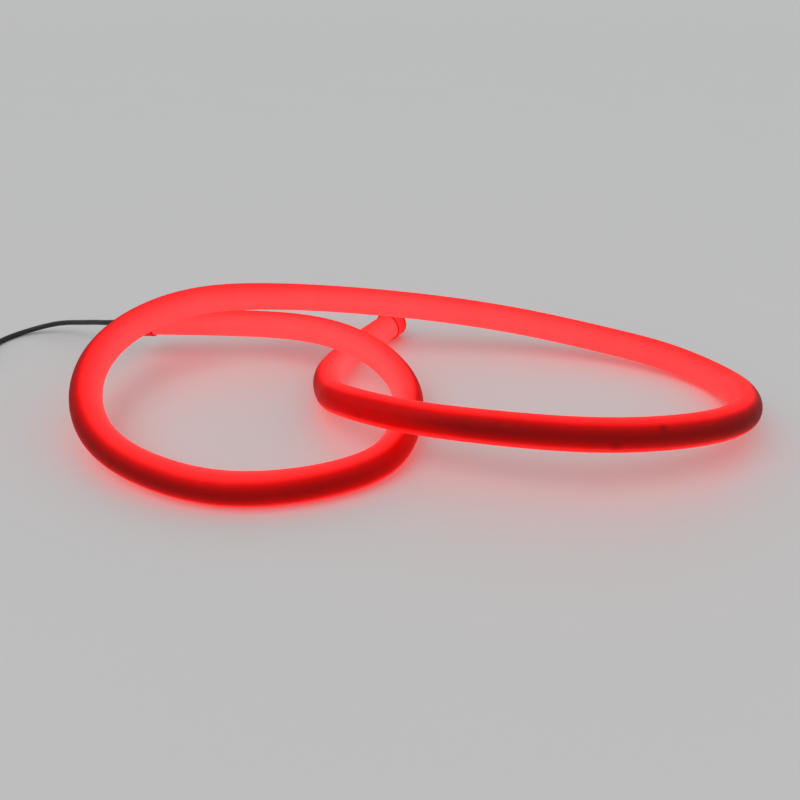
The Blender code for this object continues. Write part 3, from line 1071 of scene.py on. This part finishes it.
class Coil:
    """The round coil of spare lead, placed by its CAD ring, with the socket beside it."""

    def __init__(self, lead_diameter):
        low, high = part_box("lead_coil")
        self.lead_radius = lead_diameter / 2
        self.centre = (low + high) / 2
        self.radius = (high.x - low.x) / 2 - self.lead_radius
        self.lift = low.z

    def turns(self, count):
        """Points of the turns, clockwise from the east side; each turn climbs on to the one before."""
        points = []
        for number in range(count):
            for step in range(TURN_STEPS):
                turn = step / TURN_STEPS
                climb = np.clip((turn - CLIMB_START) / CLIMB_SHARE, 0, 1)
                climb = climb * climb * (3 - 2 * climb)
                over_tie = self.lift * max(0.0, math.cos(math.tau * (turn - 0.5))) ** 2
                angle = -math.tau * turn
                height = self.lead_radius + over_tie + 2 * self.lead_radius * (number + climb)
                x = self.centre.x + self.radius * math.cos(angle)
                y = self.centre.y + self.radius * math.sin(angle)
                points.append((x, y, height))
        return points

    def way_to_socket(self, count):
        """Points from the last turn down to the socket, and into its tail."""
        low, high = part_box("socket_body")
        x = self.centre.x + self.radius
        rear = (low.z + high.z) / 2
        height = (2 * count + 1) * self.lead_radius
        leave = self.centre.y
        way = leave - high.y
        return [
            (x, leave, height),
            (x, leave - way * LEVEL_WAY, height * LEVEL_HEIGHT),
            (x, leave - way * DROP_WAY, rear + (height - rear) * DROP_HEIGHT),
            (x, high.y + LEAD_BEFORE_SOCKET, rear),
            (x, high.y, rear),
            (x, high.y - LEAD_IN_SOCKET, rear),
        ]


class NEONFLEX_OT_coil_band(bpy.types.Operator):
    """Make the band that holds the coil: a rounded strap with a small head and a cut-off tail"""

    bl_idname = "neonflex.coil_band"
    bl_label = "Coil Band"

    def execute(self, context):
        lead = context.scene.neonflex_lead
        low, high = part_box("coil_tie")
        width = high.y - low.y
        inside = lead.diameter / 2 + SEAT_GAP
        reach = (lead.turns - 1) * lead.diameter / 2
        band = self.strap(inside, reach, width)
        top = reach + inside + BAND_THICKNESS
        head = self.block((HEAD_LENGTH, width + HEAD_OVERHANG, HEAD_HEIGHT), HEAD_EDGE)
        head.location = (0, 0, top + HEAD_LIFT)
        stub = self.block((STUB_LENGTH, width * STUB_WIDTH_SHARE, STUB_HEIGHT), STUB_EDGE)
        stub.location = (STUB_OFFSET, 0, top + STUB_LIFT)
        for piece in (head, stub):
            modify(band, "BOOLEAN", operation="UNION", object=piece)
            bpy.data.objects.remove(piece)
        band.name = "coil_band"
        band.location = ((low.x + high.x) / 2, (low.y + high.y) / 2, top)
        colour = context.scene.neonflex_socket.moulding
        material = black_plastic("band_plastic", colour, grain=500, roughness=0.36)
        dress(band, material, ["coil_tie"], crease=30)
        return {"FINISHED"}

    def strap(self, inside, reach, width):
        """An oblong loop round the stacked strands: a circle with its halves moved apart, extruded."""
        upright = (math.pi / 2, 0, 0)
        bpy.ops.mesh.primitive_circle_add(vertices=BAND_SIDES, radius=inside, rotation=upright)
        strap = bpy.context.view_layer.objects.active
        bpy.ops.object.transform_apply(location=False, rotation=True, scale=False)
        for way in (-1, 1):
            select_vertices(strap, lambda place: place.z * way > -0.01 * MM)
            bpy.ops.transform.translate(value=(0, 0, way * reach))
            bpy.ops.object.mode_set(mode="OBJECT")
        edit_all()
        bpy.ops.transform.translate(value=(0, -width / 2, 0))
        bpy.ops.mesh.extrude_region_move(TRANSFORM_OT_translate={"value": (0, width, 0)})
        bpy.ops.object.mode_set(mode="OBJECT")
        tidy_mesh(strap)
        modify(strap, "SOLIDIFY", thickness=BAND_THICKNESS, offset=1)
        modify(strap, "BEVEL", width=BAND_EDGE, segments=2)
        return strap

    def block(self, size, edge):
        """A box of the given size with rounded edges."""
        bpy.ops.mesh.primitive_cube_add(size=1)
        box = bpy.context.view_layer.objects.active
        edit_all()
        bpy.ops.transform.resize(value=size)
        bpy.ops.mesh.bevel(offset=edge, segments=3)
        bpy.ops.object.mode_set(mode="OBJECT")
        return box


class NEONFLEX_OT_socket(bpy.types.Operator):
    """Make the socket on the lead's end, with its contact pin"""

    bl_idname = "neonflex.socket"
    bl_label = "Socket"

    def execute(self, context):
        settings = context.scene.neonflex_socket
        low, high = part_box("socket_body")
        pin_low, pin_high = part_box("socket_pin")
        place = ((low.x + high.x) / 2, low.y, (low.z + high.z) / 2)
        hole = context.scene.neonflex_lead.diameter / 2 + FIT_GAP
        outside = self.moulding((high.x - low.x) / 2, high.y - low.y, hole)
        body = turned_piece("socket_moulding", outside, settings.sides, closed=False)
        pin_radius = (pin_high.x - pin_low.x) / 2
        shaft = self.contact(pin_radius, pin_low.y - low.y, pin_high.y - low.y)
        pin = turned_piece("socket_contact", shaft, PIN_SIDES, closed=False)
        for obj in (body, pin):
            aim(obj, place, (0, 1, 0))
        plastic = black_plastic("socket_plastic", settings.moulding, grain=420, roughness=0.46)
        dress(body, plastic, ["socket_body"])
        dress(pin, pin_material(settings), ["socket_pin"])
        return {"FINISHED"}

    def moulding(self, radius, length, hole):
        """The socket's profile: tail hole, ringed tail, gripped barrel, mouth and bore."""
        tail = hole + TAIL_WALL
        shoulder = radius - BARREL_EDGE
        seat = length - TAIL_HOLE_DEPTH
        points = [(0, seat), (hole, seat), (hole, length - TAIL_HOLE_CHAMFER)]
        points += arc(tail - TAIL_EDGE, length - TAIL_EDGE, TAIL_EDGE, 90, 0, 4)
        for share in TAIL_RINGS:
            middle = length - (length - BARREL_LENGTH) * share
            wall = tail + (shoulder - tail) * share
            points += reversed(ring_groove(wall, middle, TAIL_RING_WIDTH, TAIL_RING_DEPTH, 4))
        points += arc(shoulder, BARREL_LENGTH - BARREL_EDGE, BARREL_EDGE, 90, 0)
        for height in GRIP_RINGS:
            points += reversed(ring_groove(radius, height, GRIP_RING_WIDTH, GRIP_RING_DEPTH, 4))
        points.append((radius, GRIP_END))
        points += arc(radius - FRONT_EDGE, FRONT_EDGE, FRONT_EDGE, 0, -90)
        points += [(BORE_RADIUS + BORE_CHAMFER, 0), (BORE_RADIUS, BORE_CHAMFER)]
        points += [(BORE_RADIUS, BORE_DEPTH / 2), (BORE_RADIUS, BORE_DEPTH), (0, BORE_DEPTH)]
        return points

    def contact(self, radius, tip, base):
        """The pin's profile, from its base to its rounded tip."""
        nose = arc(0, 0, radius, 0, 90, 6)[:-1]
        points = [(0, base), (radius, base), (radius, (tip + base) / 2)]
        return points + [(r, tip + radius - h) for r, h in nose] + [(0, tip)]


class NEONFLEX_OT_strip(bpy.types.Operator):
    """Finish the light strip inside the tube"""

    bl_idname = "neonflex.strip"
    bl_label = "Light Strip"

    def execute(self, context):
        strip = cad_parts["led_strip"]
        strip.data.materials.clear()
        strip.data.materials.append(strip_material())
        return {"FINISHED"}


class NEONFLEX_PT_panel(bpy.types.Panel):
    bl_idname = "NEONFLEX_PT_panel"
    bl_label = "Neon Flex"
    bl_space_type = "VIEW_3D"
    bl_region_type = "UI"
    bl_category = "Neon Flex"

    def draw(self, context):
        for operator in OPERATORS:
            self.layout.operator(operator.bl_idname)
        for name, settings in SETTINGS.items():
            box = self.layout.box()
            box.label(text=settings.bl_rna.name)
            group = getattr(context.scene, name)
            for prop in settings.__annotations__:
                box.prop(group, prop)


SETTINGS = {
    "neonflex_stage": StageSettings,
    "neonflex_tube": TubeSettings,
    "neonflex_caps": CapSettings,
    "neonflex_lead": LeadSettings,
    "neonflex_socket": SocketSettings,
}
OPERATORS = (
    NEONFLEX_OT_stage,
    NEONFLEX_OT_socket,
    NEONFLEX_OT_coil_band,
    NEONFLEX_OT_lead,
    NEONFLEX_OT_closed_cap,
    NEONFLEX_OT_tube,
    NEONFLEX_OT_feed_cap,
    NEONFLEX_OT_strip,
)


def register():
    for settings in SETTINGS.values():
        bpy.utils.register_class(settings)
    for name, settings in SETTINGS.items():
        setattr(bpy.types.Scene, name, PointerProperty(type=settings))
    for operator in OPERATORS:
        bpy.utils.register_class(operator)
    bpy.utils.register_class(NEONFLEX_PT_panel)


def unregister():
    bpy.utils.unregister_class(NEONFLEX_PT_panel)
    for operator in reversed(OPERATORS):
        bpy.utils.unregister_class(operator)
    for name in SETTINGS:
        delattr(bpy.types.Scene, name)
    for settings in reversed(SETTINGS.values()):
        bpy.utils.unregister_class(settings)


def main():
    register()
    bpy.ops.neonflex.stage()
    bpy.ops.neonflex.socket()
    bpy.ops.neonflex.coil_band()
    bpy.ops.neonflex.lead()
    bpy.ops.neonflex.closed_cap()
    bpy.ops.neonflex.tube()
    bpy.ops.neonflex.feed_cap()
    bpy.ops.neonflex.strip()


if __name__ == "__main__":
    main()
